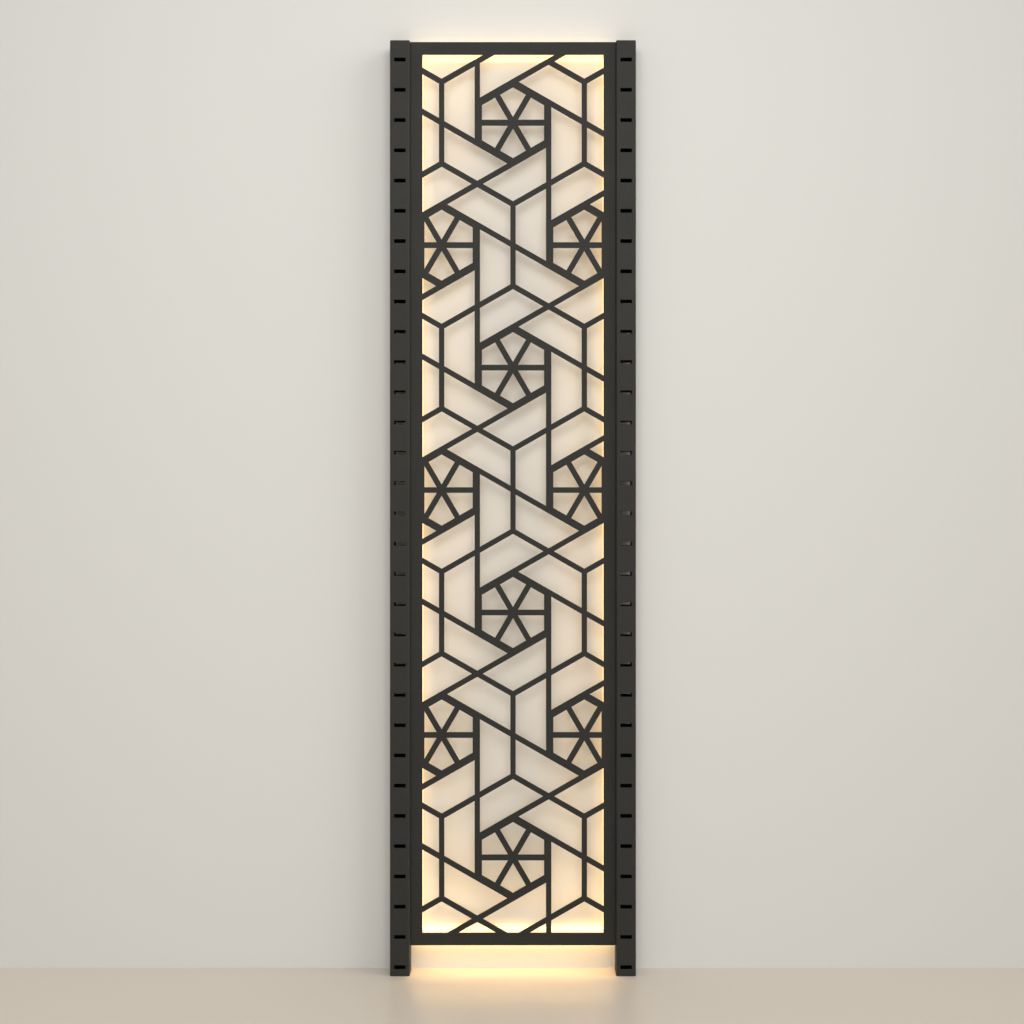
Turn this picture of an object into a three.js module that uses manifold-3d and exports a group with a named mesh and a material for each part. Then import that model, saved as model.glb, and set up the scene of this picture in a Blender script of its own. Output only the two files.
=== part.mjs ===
// Mashrabiya screen: two slotted square posts, a laser-cut lattice panel between them, and four
// light strips behind the panel's border. It stands on the floor with its back against a wall.
// Millimetres, +Z up, the front faces -Y. The origin is the middle of the left post's back face.

import * as THREE from 'three';
import { mergeVertices } from 'three/addons/utils/BufferGeometryUtils.js';
import Module from 'manifold-3d';

// ---- Driving dimensions ----

const fitGap = 0.3; // clearance between pieces that touch

const post = {
  side: 50,
  height: 2357.5,
  wall: 2.5,
  outerRadius: 4,
  innerRadius: 1.5,
  centreSpacing: 570
};

const slot = { width: 29, height: 9.6, pitch: 76.2, count: 31, lowest: 22.7 };

const panel = {
  thickness: 5,
  recess: 12, // front face behind the posts' front faces
  bottom: 73.5,
  border: 30.6
};

const lattice = {
  columnPitch: 361, // between stars in one row
  rowPitch: 309.8, // between rows, which are staggered by half a column
  middleRow: 1224.7, // height of the middle row, whose stars are cut by the stiles
  barWidth: 13.4,
  spokeWidth: 14.2,
  ringLip: 5 // extra width inside each small hexagon
};

const strip = { width: 20, cornerRadius: 2 };

// ---- Derived dimensions ----

const panelWidth = post.centreSpacing - post.side - 2 * fitGap;
const panelTop = post.height;
const panelFront = -post.side + panel.recess;
const panelBack = panelFront + panel.thickness;
const stripDepth = -panelBack - fitGap; // from the wall to the back of the panel
const opening = {
  halfWidth: panelWidth / 2 - panel.border,
  bottom: panel.bottom + panel.border,
  top: panelTop - panel.border
};

// ---- Solids: joining and cutting ----

const wasm = await Module();
wasm.setup();

// The closed solid of a three.js geometry.
function solidOf(geometry) {
  const bare = geometry.clone();
  bare.deleteAttribute('normal');
  bare.deleteAttribute('uv');
  const merged = mergeVertices(bare, 1e-4);
  return new wasm.Manifold(new wasm.Mesh({
    numProp: 3,
    vertProperties: new Float32Array(merged.attributes.position.array),
    triVerts: new Uint32Array(merged.index.array)
  }));
}

function geometryOf(solid) {
  const mesh = solid.getMesh();
  const geometry = new THREE.BufferGeometry();
  geometry.setAttribute('position', new THREE.BufferAttribute(mesh.vertProperties, 3));
  geometry.setIndex(new THREE.BufferAttribute(mesh.triVerts, 1));
  geometry.computeVertexNormals();
  return geometry;
}

function boxSolid(low, high) {
  const size = [0, 1, 2].map((axis) => high[axis] - low[axis]);
  const middle = [0, 1, 2].map((axis) => (high[axis] + low[axis]) / 2);
  return solidOf(new THREE.BoxGeometry(...size).translate(...middle));
}

// ---- Outlines ----

// A rectangle with rounded corners, counter-clockwise, centred on the origin.
function roundedRectangle(width, height, radius) {
  const shape = new THREE.Shape();
  const x = width / 2 - radius;
  const y = height / 2 - radius;
  const quarter = Math.PI / 2;
  const corners = [[x, -y], [x, y], [-x, y], [-x, -y]];
  corners.forEach(([cx, cy], index) => {
    shape.absarc(cx, cy, radius, (index - 1) * quarter, index * quarter, false);
  });
  return shape;
}

// A bar of constant width between two points of the panel, each a Vector2 of (x, z).
function barOutline(from, to, width) {
  const along = to.clone().sub(from).normalize();
  const across = new THREE.Vector2(-along.y, along.x).multiplyScalar(width / 2);
  return new THREE.Shape([
    from.clone().sub(across),
    to.clone().sub(across),
    to.clone().add(across),
    from.clone().add(across)
  ]);
}

// The plate's solid for an outline drawn in (x, z) as seen from the front.
function plateSolid(shape) {
  const geometry = new THREE.ExtrudeGeometry(shape, { depth: panel.thickness, bevelEnabled: false });
  geometry.rotateX(Math.PI / 2);
  geometry.translate(0, panelBack, 0);
  return solidOf(geometry);
}

// ---- Posts ----

// A square tube with both ends welded shut and a row of slots, each cut right through both skins.
function postGeometry() {
  const curveSegments = 4;
  const outer = new THREE.ExtrudeGeometry(
    roundedRectangle(post.side, post.side, post.outerRadius),
    { depth: post.height, bevelEnabled: false, curveSegments }
  );
  const boreSide = post.side - 2 * post.wall;
  const bore = new THREE.ExtrudeGeometry(
    roundedRectangle(boreSide, boreSide, post.innerRadius),
    { depth: post.height - 2 * post.wall, bevelEnabled: false, curveSegments: 2 }
  );
  bore.translate(0, 0, post.wall);

  let tube = solidOf(outer).subtract(solidOf(bore));
  for (let index = 0; index < slot.count; index += 1) {
    const height = slot.lowest + index * slot.pitch;
    tube = tube.subtract(boxSolid(
      [-slot.width / 2, -post.side, height - slot.height / 2],
      [slot.width / 2, post.side, height + slot.height / 2]
    ));
  }
  return geometryOf(tube).translate(0, -post.side / 2, 0);
}

// ---- Lattice panel ----

// The lattice is drawn on a regular triangular grid whose stars are one unit apart. Each star has a
// small hexagon of spokes inside a large hexagon. The small hexagon's sides run on, as vanes like a
// pinwheel's, to the small hexagons around it.
const ringRadius = 1 / (2 * Math.sqrt(3));
const cellRadius = 1 / Math.sqrt(3);
const ringInradius = 1 / 4;
const gridRowPitch = Math.sqrt(3) / 2;
const sixth = Math.PI / 3;

function polar(centre, radius, angle) {
  return new THREE.Vector2(
    centre.x + radius * Math.cos(angle),
    centre.y + radius * Math.sin(angle)
  );
}

// From the unit grid to millimetres on the panel.
function onPanel(point) {
  return new THREE.Vector2(
    point.x * lattice.columnPitch,
    lattice.middleRow + point.y * lattice.rowPitch / gridRowPitch
  );
}

// Stars in rows above and below the middle row, enough of them to reach past the panel.
function starGrid() {
  const stars = [];
  for (let row = -4; row <= 4; row += 1) {
    const stagger = row % 2 === 0 ? 0.5 : 0;
    for (let column = -2; column <= 1; column += 1) {
      const x = column + stagger;
      stars.push({ row, x, centre: new THREE.Vector2(x, row * gridRowPitch) });
    }
  }
  return stars;
}

// Half-bars that the border would cut to a stub, left out by the row and x of their star.
const stubs = [
  { kind: 'vane', row: 3, x: 0, turn: 2, half: 'far' },
  { kind: 'cell', row: 3, x: 0, turn: 0, half: 'far' },
  { kind: 'vane', row: -4, x: 0.5, turn: 1, half: 'near' },
  { kind: 'vane', row: -4, x: 0.5, turn: 1, half: 'far' }
];

// The vanes and large-hexagon sides of one star that no other star draws, and its spokes. Vanes and
// sides cross at their middles, so each is drawn as a near half and a far half.
function starBars(star) {
  const bars = [];
  const addBar = (from, to, width) => {
    bars.push(barOutline(onPanel(from), onPanel(to), width));
  };
  const addHalves = (kind, turn, from, to) => {
    const middle = from.clone().lerp(to, 0.5);
    for (const [half, start, end] of [['near', from, middle], ['far', middle, to]]) {
      const isStub = stubs.some((stub) => (
        stub.kind === kind && stub.row === star.row && stub.x === star.x
        && stub.turn === turn && stub.half === half
      ));
      if (!isStub) addBar(start, end, lattice.barWidth);
    }
  };

  for (let turn = 0; turn < 3; turn += 1) {
    const heading = turn * sixth;
    addHalves(
      'vane',
      turn,
      polar(star.centre, ringRadius, heading + Math.PI / 2),
      polar(polar(star.centre, 1, heading), ringRadius, heading - Math.PI / 2)
    );
    addHalves(
      'cell',
      turn,
      polar(star.centre, cellRadius, heading + sixth / 2),
      polar(star.centre, cellRadius, heading + 1.5 * sixth)
    );
    addBar(
      polar(star.centre, ringInradius, heading),
      polar(star.centre, ringInradius, heading + Math.PI),
      lattice.spokeWidth
    );
  }
  return bars;
}

// A hexagon around a star, grown outwards by a margin in millimetres.
function hexagonOutline(centre, margin) {
  const middle = onPanel(centre);
  const scale = 1 + margin / (ringInradius * lattice.columnPitch);
  const corners = [];
  for (let corner = 0; corner < 6; corner += 1) {
    const point = onPanel(polar(centre, ringRadius, sixth / 2 + corner * sixth));
    corners.push(point.sub(middle).multiplyScalar(scale).add(middle));
  }
  return new THREE.Shape(corners);
}

// The opening's outline, drawn in by a margin.
function openingOutline(margin) {
  const x = opening.halfWidth - margin;
  const low = opening.bottom + margin;
  const high = opening.top - margin;
  return new THREE.Shape([
    new THREE.Vector2(-x, low),
    new THREE.Vector2(x, low),
    new THREE.Vector2(x, high),
    new THREE.Vector2(-x, high)
  ]);
}

// The lip runs round the inside of each small hexagon, and along the stile where one cuts it off.
function ringLips(stars) {
  const holeMargin = -lattice.barWidth / 2 - lattice.ringLip;
  const hexagons = stars.map(({ centre }) => plateSolid(hexagonOutline(centre, 0)));
  const holes = stars.map(({ centre }) => plateSolid(hexagonOutline(centre, holeMargin)));
  const inset = plateSolid(openingOutline(lattice.ringLip));
  return wasm.Manifold.union(hexagons).subtract(wasm.Manifold.union(holes).intersect(inset));
}

function panelGeometry() {
  const stars = starGrid();
  const bars = stars.flatMap(starBars).map(plateSolid);
  const fill = wasm.Manifold.union(bars).add(ringLips(stars));

  const window = plateSolid(openingOutline(0));
  const plate = boxSolid(
    [-panelWidth / 2, panelFront, panel.bottom],
    [panelWidth / 2, panelBack, panelTop]
  );
  return geometryOf(plate.subtract(window).add(fill.intersect(window)));
}

// ---- Light strips ----

// A bar of the strip's section along X, its back against the wall.
function stripGeometry(length) {
  const geometry = new THREE.ExtrudeGeometry(
    roundedRectangle(strip.width, stripDepth, strip.cornerRadius),
    { depth: length, bevelEnabled: false, curveSegments: 2 }
  );
  geometry.translate(0, 0, -length / 2);
  geometry.rotateY(Math.PI / 2);
  return geometry.translate(0, -stripDepth / 2, 0);
}

// ---- Materials ----

const charcoal = new THREE.MeshStandardMaterial({ color: 0x42413d, metalness: 0.1, roughness: 0.6 });
const opal = new THREE.MeshStandardMaterial({
  color: 0xf4efe2,
  metalness: 0,
  roughness: 0.5,
  emissive: 0xffdfae
});

// ---- Assembly: built on the screen's centre line at floor level, then moved to the origin ----

const screen = new THREE.Group();

function addPiece(name, geometry, material, position = [0, 0, 0], turn = 0) {
  const mesh = new THREE.Mesh(geometry, material);
  mesh.name = name;
  mesh.position.set(...position);
  mesh.rotation.y = turn;
  screen.add(mesh);
}

for (const [name, side] of [['left', -1], ['right', 1]]) {
  addPiece(`${name}_post`, postGeometry(), charcoal, [side * post.centreSpacing / 2, 0, 0]);
}

addPiece('lattice_panel', panelGeometry(), charcoal);

const levelStrip = stripGeometry(panelWidth - 2 * fitGap);
addPiece('top_light_strip', levelStrip, opal, [0, 0, opening.top + strip.width / 2]);
addPiece('bottom_light_strip', levelStrip, opal, [0, 0, opening.bottom - strip.width / 2]);

const uprightStrip = stripGeometry(opening.top - opening.bottom - 2 * fitGap);
const uprightMiddle = (opening.top + opening.bottom) / 2;
for (const [name, side] of [['left', -1], ['right', 1]]) {
  const x = side * (opening.halfWidth + strip.width / 2);
  addPiece(`${name}_light_strip`, uprightStrip, opal, [x, 0, uprightMiddle], Math.PI / 2);
}

screen.position.set(post.centreSpacing / 2, 0, -post.height / 2);

const model = new THREE.Group();
model.add(screen);

export default model;
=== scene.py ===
"""Mashrabiya screen: two slotted posts, a laser-cut lattice panel and the light strips behind its
border, standing against a plain wall. Metres, +Z up, the front faces -Y."""

import math

import bmesh
import bpy
from mathutils import Matrix, Vector


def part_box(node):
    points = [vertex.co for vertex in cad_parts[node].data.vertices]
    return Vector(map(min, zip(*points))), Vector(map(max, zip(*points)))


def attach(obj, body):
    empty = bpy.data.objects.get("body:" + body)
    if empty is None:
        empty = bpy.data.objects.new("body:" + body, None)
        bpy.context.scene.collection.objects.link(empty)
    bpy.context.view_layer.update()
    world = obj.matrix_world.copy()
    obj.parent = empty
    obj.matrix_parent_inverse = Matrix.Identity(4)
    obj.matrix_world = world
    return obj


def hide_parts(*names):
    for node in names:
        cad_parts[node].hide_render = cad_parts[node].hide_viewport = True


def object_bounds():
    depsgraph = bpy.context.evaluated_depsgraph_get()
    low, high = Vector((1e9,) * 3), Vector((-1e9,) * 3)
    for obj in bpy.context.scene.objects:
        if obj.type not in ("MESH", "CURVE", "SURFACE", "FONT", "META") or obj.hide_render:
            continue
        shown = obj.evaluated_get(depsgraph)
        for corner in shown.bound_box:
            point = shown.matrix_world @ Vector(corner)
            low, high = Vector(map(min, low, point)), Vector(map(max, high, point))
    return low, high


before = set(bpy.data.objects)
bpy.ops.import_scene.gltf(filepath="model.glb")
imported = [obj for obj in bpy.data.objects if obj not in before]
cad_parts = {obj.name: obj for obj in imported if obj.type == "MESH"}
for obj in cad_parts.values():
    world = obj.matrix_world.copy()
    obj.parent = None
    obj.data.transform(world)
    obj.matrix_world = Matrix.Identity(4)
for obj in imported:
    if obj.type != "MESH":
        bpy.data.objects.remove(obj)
cad_low, cad_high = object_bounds()

MM = 0.001
SCENE = bpy.context.scene
POSTS = ("left_post", "right_post")
PANEL = "lattice_panel"
STRIPS = ("top_light_strip", "bottom_light_strip", "left_light_strip", "right_light_strip")

CENTRE_X = (cad_low.x + cad_high.x) / 2
FLOOR_Z = cad_low.z

# How far apart two points may be and still count as one, or as lying in one plane.
SAME_POINT = 0.01 * MM
SAME_PLANE = 0.1 * MM


# ---- Colours and nodes ----

def linear(hex_code, alpha=1.0):
    """An sRGB hex colour such as "#403F3B" as the linear RGBA that the shaders take."""
    values = [int(hex_code[i:i + 2], 16) / 255 for i in (1, 3, 5)]
    rgb = [v / 12.92 if v <= 0.04045 else ((v + 0.055) / 1.055) ** 2.4 for v in values]
    return (*rgb, alpha)


def add_node(tree, kind, inputs=None, **settings):
    """A node of this kind. An input that is itself an output socket is linked."""
    node = tree.nodes.new(kind)
    for name, value in settings.items():
        setattr(node, name, value)
    for key, value in (inputs or {}).items():
        if isinstance(value, bpy.types.NodeSocket):
            tree.links.new(value, node.inputs[key])
        else:
            node.inputs[key].default_value = value
    return node


def new_material(name):
    """An empty material with its tree, Principled shader and Object coordinates."""
    material = bpy.data.materials.new(name)
    material.use_nodes = True
    tree = material.node_tree
    tree.nodes.clear()
    shader = add_node(tree, "ShaderNodeBsdfPrincipled")
    output = add_node(tree, "ShaderNodeOutputMaterial")
    tree.links.new(shader.outputs["BSDF"], output.inputs["Surface"])
    coordinates = add_node(tree, "ShaderNodeTexCoord").outputs["Object"]
    return material, tree, shader, coordinates


# ---- Materials ----

COAT_GRAIN = 0.9 * MM
COAT_SWELL = 3.5 * MM
COAT_CLOUD = 90 * MM
HAZE_WIDTH = 40 * MM
DIE_GRAIN = 0.8 * MM


def powder_coated_steel(name, low_tone, high_tone, grain_tone):
    """Mild steel under a fine-texture charcoal polyester powder coat. The coat is a dense matt skin of
    grains about half a millimetre across, drawn nearly twice as wide so that they show from nearby. It
    has a faint cloudiness of tone and gloss a hand's width across, and it looks a little greyer where
    the grains stand up."""
    material, tree, shader, place = new_material(name)
    grain = add_node(tree, "ShaderNodeTexNoise", {
        "Vector": place, "Scale": 1 / COAT_GRAIN, "Detail": 3.0, "Roughness": 0.6,
    })
    swell = add_node(tree, "ShaderNodeTexNoise", {
        "Vector": place, "Scale": 1 / COAT_SWELL, "Detail": 1.0, "Roughness": 0.5,
    })
    cloud = add_node(tree, "ShaderNodeTexNoise", {
        "Vector": place, "Scale": 1 / COAT_CLOUD, "Detail": 3.0, "Roughness": 0.55,
    })
    speck = add_node(tree, "ShaderNodeMapRange", {
        "Value": grain.outputs["Fac"], "From Min": 0.35, "From Max": 0.7,
    })
    tone = add_node(tree, "ShaderNodeMix", {
        "Factor": cloud.outputs["Fac"], "A": linear(low_tone), "B": linear(high_tone),
    }, data_type="RGBA")
    skin = add_node(tree, "ShaderNodeMix", {
        "Factor": speck.outputs["Result"], "A": tone.outputs["Result"], "B": linear(grain_tone),
    }, data_type="RGBA")
    gloss = add_node(tree, "ShaderNodeMapRange", {
        "Value": cloud.outputs["Fac"], "From Min": 0.3, "From Max": 0.7, "To Min": 0.58, "To Max": 0.68,
    })
    relief = add_node(tree, "ShaderNodeBump", {
        "Height": grain.outputs["Fac"], "Strength": 0.35, "Distance": 0.12 * MM,
    })
    orange_peel = add_node(tree, "ShaderNodeBump", {
        "Height": swell.outputs["Fac"], "Strength": 0.3, "Distance": 0.2 * MM,
        "Normal": relief.outputs["Normal"],
    })
    tree.links.new(skin.outputs["Result"], shader.inputs["Base Color"])
    tree.links.new(gloss.outputs["Result"], shader.inputs["Roughness"])
    tree.links.new(orange_peel.outputs["Normal"], shader.inputs["Normal"])
    shader.inputs["IOR"].default_value = 1.5
    shader.inputs["Specular IOR Level"].default_value = 0.34
    return material


def lit_opal_acrylic(name, light, glow):
    """Extruded opal acrylic, satin outside, lit from within by a row of warm white lights. It glows
    evenly, a cream that is nearly white, with the faintest lengthwise unevenness."""
    material, tree, shader, place = new_material(name)
    haze = add_node(tree, "ShaderNodeTexNoise", {
        "Vector": place, "Scale": 1 / HAZE_WIDTH, "Detail": 2.0, "Roughness": 0.5,
    })
    satin = add_node(tree, "ShaderNodeMapRange", {
        "Value": haze.outputs["Fac"], "From Min": 0.3, "From Max": 0.7, "To Min": 0.32, "To Max": 0.42,
    })
    body = add_node(tree, "ShaderNodeMix", {
        "Factor": haze.outputs["Fac"], "A": linear("#EFE8DA"), "B": linear("#F7F2E8"),
    }, data_type="RGBA")
    tree.links.new(body.outputs["Result"], shader.inputs["Base Color"])
    tree.links.new(satin.outputs["Result"], shader.inputs["Roughness"])
    shader.inputs["IOR"].default_value = 1.49
    shader.inputs["Emission Color"].default_value = linear(light)
    shader.inputs["Emission Strength"].default_value = glow
    return material


def anodised_aluminium():
    """Extruded aluminium, natural anodised. It is a soft satin grey with a fine, uneven gloss."""
    material, tree, shader, place = new_material("anodised_aluminium")
    grain = add_node(tree, "ShaderNodeTexNoise", {
        "Vector": place, "Scale": 1 / DIE_GRAIN, "Detail": 2.0, "Roughness": 0.6,
    })
    satin = add_node(tree, "ShaderNodeMapRange", {
        "Value": grain.outputs["Fac"], "From Min": 0.3, "From Max": 0.7, "To Min": 0.34, "To Max": 0.46,
    })
    tree.links.new(satin.outputs["Result"], shader.inputs["Roughness"])
    shader.inputs["Base Color"].default_value = linear("#B9BABB")
    shader.inputs["Metallic"].default_value = 1.0
    return material


# ---- Meshes ----

def make_piece(name, mesh_builder, materials, node):
    """Turns a bmesh into a piece that rides on the screen and stands for a CAD node."""
    mesh = bpy.data.meshes.new(name)
    mesh_builder.to_mesh(mesh)
    mesh_builder.free()
    for material in materials:
        mesh.materials.append(material)
    piece = bpy.data.objects.new(name, mesh)
    SCENE.collection.objects.link(piece)
    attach(piece, "root")
    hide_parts(node)
    return piece


def cut_shape(node):
    """The CAD node's own shape, its loose triangles joined."""
    shape = bmesh.new()
    shape.from_mesh(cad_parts[node].data)
    bmesh.ops.remove_doubles(shape, verts=shape.verts, dist=SAME_POINT)
    shape.normal_update()
    return shape


def even_out(shape, levels):
    """Divides the flat faces at these depths anew, because a bevel would turn a sliver over."""
    for y in levels:
        flat = [face for face in shape.faces if lies_at(face.verts, y)]
        inner = [edge for edge in shape.edges if lies_at(edge.verts, y) and not is_sharp(edge)]
        bmesh.ops.beautify_fill(shape, faces=flat, edges=inner, method="AREA")
    shape.normal_update()


def soften(shape, edges, radius, segments=3):
    """Rounds these edges, as a coat of powder does."""
    bmesh.ops.bevel(
        shape, geom=edges, offset=radius, offset_type="OFFSET", segments=segments, profile=0.5,
        affect="EDGES", material=-1, clamp_overlap=True,
    )


def shade(piece, angle=35):
    """Smooth faces with a hard edge where the surface really turns."""
    for face in piece.data.polygons:
        face.use_smooth = True
    piece.data.set_sharp_from_angle(angle=math.radians(angle))
    weighted = piece.modifiers.new("weighted_normals", "WEIGHTED_NORMAL")
    weighted.keep_sharp = True


def is_sharp(edge, degrees=50):
    return edge.calc_face_angle() > math.radians(degrees)


def lies_at(verts, level, axis=1):
    """Whether all of these vertices lie in one plane across this axis."""
    return all(abs(vert.co[axis] - level) < SAME_PLANE for vert in verts)


# ---- Posts ----

SLOT_EDGE = 0.3 * MM
END_EDGE = 0.8 * MM
FINE_SEGMENTS = 2  # across an edge too small for more to show


def post(node, steel):
    """The slotted tube, with the edges of its slots and of its welded ends rounded by the coat."""
    low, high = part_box(node)
    shape = cut_shape(node)
    even_out(shape, (low.y, high.y))
    for z in (low.z, high.z):
        cap = [face for face in shape.faces if lies_at(face.verts, z, axis=2)]
        bmesh.ops.dissolve_faces(shape, faces=cap)
    ends = [
        edge for edge in shape.edges
        if is_sharp(edge) and any(lies_at(edge.verts, z, axis=2) for z in (low.z, high.z))
    ]
    soften(shape, ends, END_EDGE)
    slot_rims = [
        edge for edge in shape.edges
        if is_sharp(edge) and any(lies_at(edge.verts, y) for y in (low.y, high.y))
    ]
    soften(shape, slot_rims, SLOT_EDGE, FINE_SEGMENTS)
    shade(make_piece(f"{node}_coated", shape, [steel], node))


# ---- Lattice panel ----

CUT_EDGE = 0.45 * MM


def lattice(steel):
    """The laser-cut plate, with both arrises of every cut rounded by the coat."""
    low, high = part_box(PANEL)
    shape = cut_shape(PANEL)
    even_out(shape, (low.y, high.y))
    arrises = [
        edge for edge in shape.edges
        if is_sharp(edge) and any(lies_at(edge.verts, y) for y in (low.y, high.y))
    ]
    soften(shape, arrises, CUT_EDGE, FINE_SEGMENTS)
    shade(make_piece("lattice_panel_coated", shape, [steel], PANEL))


# ---- Light strips ----

FLANGE = 2.0 * MM
WEB = 1.5 * MM
CAP = 1.5 * MM
LENS_INSET = 0.5 * MM
LENS_RADIUS = 1.5 * MM
LENS_SEGMENTS = 5
BURR = 0.3 * MM
INWARD_GLOW = 1.2
OUTWARD_GLOW = {"top_light_strip": 3.0, "bottom_light_strip": 6.4}
WARM_WHITE = "#FFCE81"
PALE_WARM_WHITE = "#FFDBAC"


def between(corners, axis, start, end):
    """A box's two corners, with one axis cut down to a stretch of it."""
    low, high = corners[0].copy(), corners[1].copy()
    low[axis], high[axis] = start, end
    return low, high


def block(corners, radius, segments):
    """A bmesh box between two corners, with rounded edges."""
    low, high = corners
    shape = bmesh.new()
    placing = Matrix.Translation((low + high) / 2) @ Matrix.Diagonal((*(high - low), 1.0))
    bmesh.ops.create_cube(shape, size=1.0, matrix=placing)
    soften(shape, shape.edges[:], radius, segments)
    return shape


def join_shapes(shapes):
    """One bmesh of several."""
    joined = bmesh.new()
    for shape in shapes:
        scratch = bpy.data.meshes.new("scratch")
        shape.to_mesh(scratch)
        shape.free()
        joined.from_mesh(scratch)
        bpy.data.meshes.remove(scratch)
    return joined


def strip_axes(corners):
    """The axis that a strip runs along, and the one across it in the screen's plane."""
    size = corners[1] - corners[0]
    along = 0 if size.x > size.z else 2
    return along, 2 - along


def outward_side(corners, across):
    """+1 where the screen's outside lies up the axis from a strip, -1 where it lies down it."""
    panel_low, panel_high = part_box(PANEL)
    return 1 if corners[0][across] > (panel_low[across] + panel_high[across]) / 2 else -1


def light_strip(node, aluminium, opal, bright_opal):
    """An aluminium flange on the back of the border, end caps, and an opal lens that shines into the
    opening and at the wall. The top and bottom strips shine outwards too, and harder. A side strip has
    a web there, which keeps the light off the post."""
    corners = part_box(node)
    low, high = corners
    along, across = strip_axes(corners)
    outward = outward_side(corners, across)
    flange = between(corners, 1, low.y, low.y + FLANGE)
    inside = between(corners, 1, low.y + FLANGE, high.y)
    caps = [
        between(inside, along, start, start + CAP) for start in (low[along], high[along] - CAP)
    ]
    lens_low, lens_high = between(inside, along, low[along] + CAP, high[along] - CAP)
    lens_low[across] += LENS_INSET
    lens_high[across] -= LENS_INSET
    metal = [flange, *caps]
    if node not in OUTWARD_GLOW:
        outer = high[across] if outward > 0 else low[across]
        ends = sorted((outer, outer - outward * WEB))
        metal.append(between((lens_low, lens_high), across, *ends))
        if outward > 0:
            lens_high[across] = ends[0]
        else:
            lens_low[across] = ends[1]

    shapes = [block(part, BURR, FINE_SEGMENTS) for part in metal]
    lens = block((lens_low, lens_high), LENS_RADIUS, LENS_SEGMENTS)
    for face in lens.faces:
        shines_hard = face.normal[across] * outward > 0.5 or face.normal.y > 0.5
        face.material_index = 2 if shines_hard else 1
    shapes.append(lens)
    finishes = [aluminium, opal, bright_opal]
    shade(make_piece(f"{node}_lit", join_shapes(shapes), finishes, node))


# ---- Stage, light and camera ----

WALL_GAP = 6.0 * MM
FLOOR_GAP = 0.1 * MM
ROOM_SIZE = 30.0
DAYLIGHT = 0.54
AIM_HEIGHT = 1.5
SOFTBOX_DISTANCE = 2.4
HIGH_SOFTBOX = {"height": 2.65, "size": (2.0, 1.3), "power": 26}
LOW_SOFTBOX = {"height": 0.35, "size": (1.4, 0.4), "power": 6}
SUN_OFFSET = Vector((9, -2.5, 3))
SUN_STRENGTH = 1.5
SUN_ANGLE = math.radians(45)
CAMERA_LENS = 42.4
CAMERA_DISTANCE = 3.037
CAMERA_HEIGHT = 1.1692
CAMERA_ASIDE = 2.5 * MM


def stage_material(name, colour, roughness, specular):
    """A plain even finish, with its tree and shader."""
    material, tree, shader, _ = new_material(name)
    shader.inputs["Base Color"].default_value = linear(colour)
    shader.inputs["Roughness"].default_value = roughness
    shader.inputs["Specular IOR Level"].default_value = specular
    return material, tree, shader


def one_sided(tree, shader):
    """Makes a surface clear from behind, so that the screen's back can be seen through the wall."""
    geometry = add_node(tree, "ShaderNodeNewGeometry")
    clear = add_node(tree, "ShaderNodeBsdfTransparent")
    mix = add_node(tree, "ShaderNodeMixShader", {
        0: geometry.outputs["Backfacing"], 1: shader.outputs["BSDF"], 2: clear.outputs["BSDF"],
    })
    output = next(n for n in tree.nodes if n.type == "OUTPUT_MATERIAL")
    tree.links.new(mix.outputs["Shader"], output.inputs["Surface"])


def stage_plane(name, centre, size, turn, material):
    shape = bmesh.new()
    bmesh.ops.create_grid(
        shape, x_segments=1, y_segments=1, size=0.5,
        matrix=Matrix.Translation(centre) @ turn @ Matrix.Diagonal((*size, 1.0, 1.0)),
    )
    mesh = bpy.data.meshes.new(name)
    shape.to_mesh(mesh)
    shape.free()
    mesh.materials.append(material)
    plane = bpy.data.objects.new(name, mesh)
    SCENE.collection.objects.link(plane)


def build_stage():
    """A plain pale floor and a plain pale wall, which the screen stands a few millimetres off."""
    floor, _, _ = stage_material("stage_floor", "#D9CFC1", 0.3, 0.5)
    wall, wall_tree, wall_shader = stage_material("stage_wall", "#DDDCD7", 0.8, 0.2)
    one_sided(wall_tree, wall_shader)
    wall_y = cad_high.y + WALL_GAP
    size = (ROOM_SIZE, ROOM_SIZE)
    stage_plane(
        "stage_floor", Vector((CENTRE_X, 0, FLOOR_Z - FLOOR_GAP)), size, Matrix(), floor,
    )
    upright = Matrix.Rotation(math.radians(90), 4, "X")
    stage_plane(
        "stage_wall", Vector((CENTRE_X, wall_y, FLOOR_Z + ROOM_SIZE / 2)), size, upright, wall,
    )


def add_light(name, kind, place, target, power, colour="#FFFFFF"):
    """A lamp at a place, aimed at a target. Its upper side stays up. No camera sees the lamp itself."""
    data = bpy.data.lights.new(name, kind)
    data.energy = power
    data.color = linear(colour)[:3]
    light = bpy.data.objects.new(name, data)
    light.location = place
    light.rotation_euler = (target - place).to_track_quat("-Z", "Y").to_euler()
    light.visible_camera = False
    SCENE.collection.objects.link(light)
    return data


def area_light(name, place, target, size, power, colour="#FFFFFF"):
    data = add_light(name, "AREA", place, target, power, colour)
    data.shape = "RECTANGLE"
    data.size, data.size_y = size
    return data


def softbox(name, height, size, power, target):
    place = Vector((CENTRE_X, -SOFTBOX_DISTANCE, FLOOR_Z + height))
    area_light(name, place, target, size, power)


def light_scene():
    """Soft daylight from all round, a softbox above and in front, a weak one near the floor, and a hazy
    sun far off to the right, which shades the left of whatever stands out from the wall."""
    world = bpy.data.worlds.new("soft_daylight")
    SCENE.world = world
    world.use_nodes = True
    background = next(n for n in world.node_tree.nodes if n.type == "BACKGROUND")
    background.inputs["Color"].default_value = linear("#FFFFFF")
    background.inputs["Strength"].default_value = DAYLIGHT
    target = Vector((CENTRE_X, 0, FLOOR_Z + AIM_HEIGHT))
    softbox("high_softbox", **HIGH_SOFTBOX, target=target)
    softbox("low_softbox", **LOW_SOFTBOX, target=target)
    sun = add_light("hazy_sun", "SUN", target + SUN_OFFSET, target, SUN_STRENGTH)
    sun.angle = SUN_ANGLE


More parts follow.
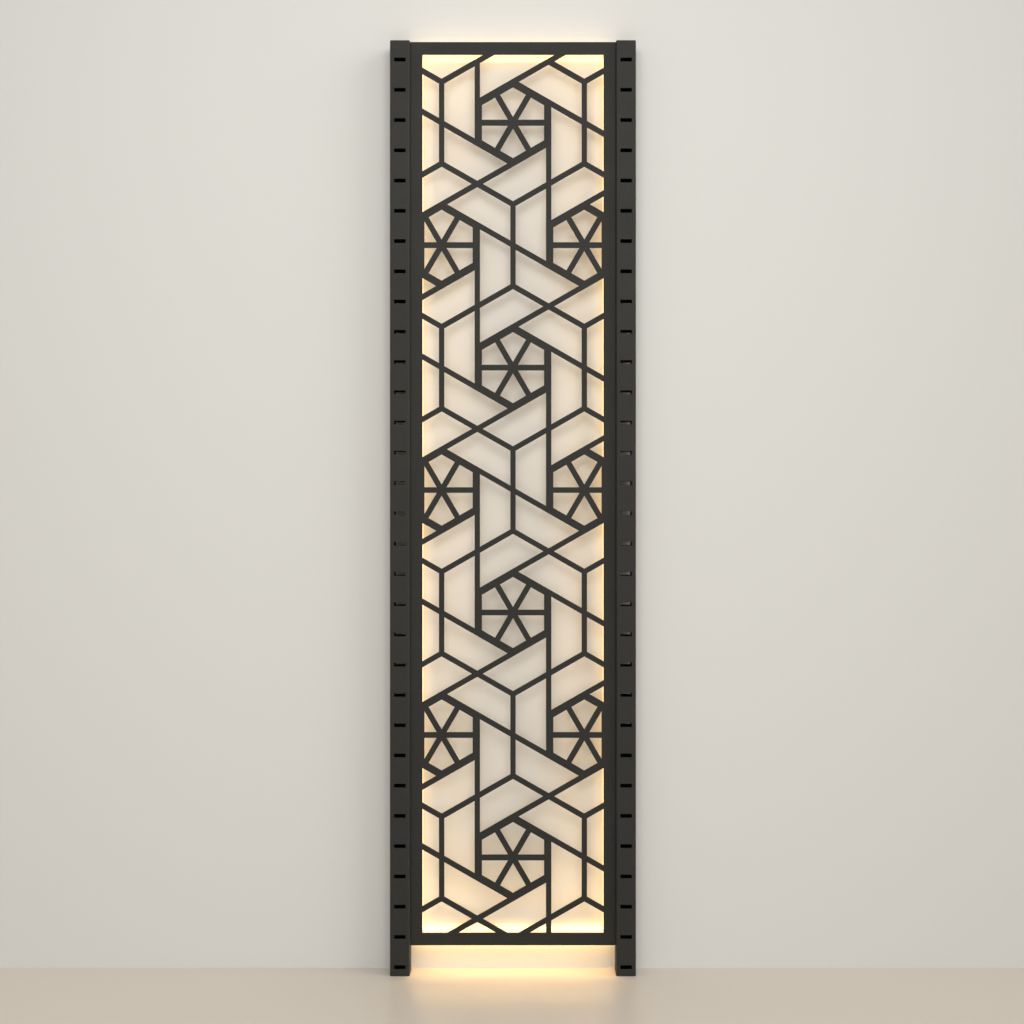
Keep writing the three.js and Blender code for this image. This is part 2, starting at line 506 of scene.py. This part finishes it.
BEAM_POWER = {
    "top_light_strip": 0.11, "bottom_light_strip": 0.3, "left_light_strip": 0.2,
    "right_light_strip": 0.22,
}
BEAM_SPREAD = math.radians(45)
BEAM_TILT = 0.06
BEAM_WIDTH = 20 * MM
BEAM_GAP = 0.5 * MM


def strip_beam(node):
    """The part of a strip's light that its lenses throw across the wall behind the lattice, as a thin
    lamp just off the strip's inner side. Power is per metre of strip."""
    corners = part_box(node)
    low, high = corners
    along, across = strip_axes(corners)
    inward = -outward_side(corners, across)
    place = (low + high) / 2
    place[across] = (high if inward > 0 else low)[across] + inward * BEAM_GAP
    aim = Vector((0, BEAM_TILT, 0))
    aim[across] = inward
    length = high[along] - low[along]
    power = BEAM_POWER[node] * length
    size = (BEAM_WIDTH, BEAM_WIDTH)
    lamp = area_light(f"{node}_beam", place, place + aim, size, power, WARM_WHITE)
    lamp.spread = BEAM_SPREAD
    if along == 0:
        lamp.size = length
    else:
        lamp.size_y = length


def place_camera():
    """Level, at chest height, square on to the screen."""
    data = bpy.data.cameras.new("camera")
    data.lens = CAMERA_LENS
    data.sensor_width = 36.0
    camera = bpy.data.objects.new("camera", data)
    camera.location = (
        CENTRE_X - CAMERA_ASIDE, cad_low.y - CAMERA_DISTANCE, FLOOR_Z + CAMERA_HEIGHT,
    )
    camera.rotation_euler = (math.radians(90), 0, 0)
    SCENE.collection.objects.link(camera)
    SCENE.camera = camera


# ---- The screen ----

place_camera()
light_scene()
build_stage()
SCENE.view_settings.view_transform = "Standard"

tube_coat = powder_coated_steel("powder_coated_tube", "#1F1E1A", "#272622", "#302F2B")
for name in POSTS:
    post(name, tube_coat)
# The plate has the same coat as the tubes, drawn a little darker: that darker tone is painted shade for
# the panel's recess between the posts.
lattice(powder_coated_steel("powder_coated_plate_with_painted_shade", "#1D1C18", "#252420", "#2D2C28"))

channel = anodised_aluminium()
cover = lit_opal_acrylic("lit_opal_acrylic", WARM_WHITE, INWARD_GLOW)
outer_covers = {
    "top_light_strip": lit_opal_acrylic(
        "lit_opal_acrylic_top", PALE_WARM_WHITE, OUTWARD_GLOW["top_light_strip"],
    ),
    "bottom_light_strip": lit_opal_acrylic(
        "lit_opal_acrylic_bottom", WARM_WHITE, OUTWARD_GLOW["bottom_light_strip"],
    ),
}
for name in STRIPS:
    light_strip(name, channel, cover, outer_covers.get(name, cover))
    strip_beam(name)
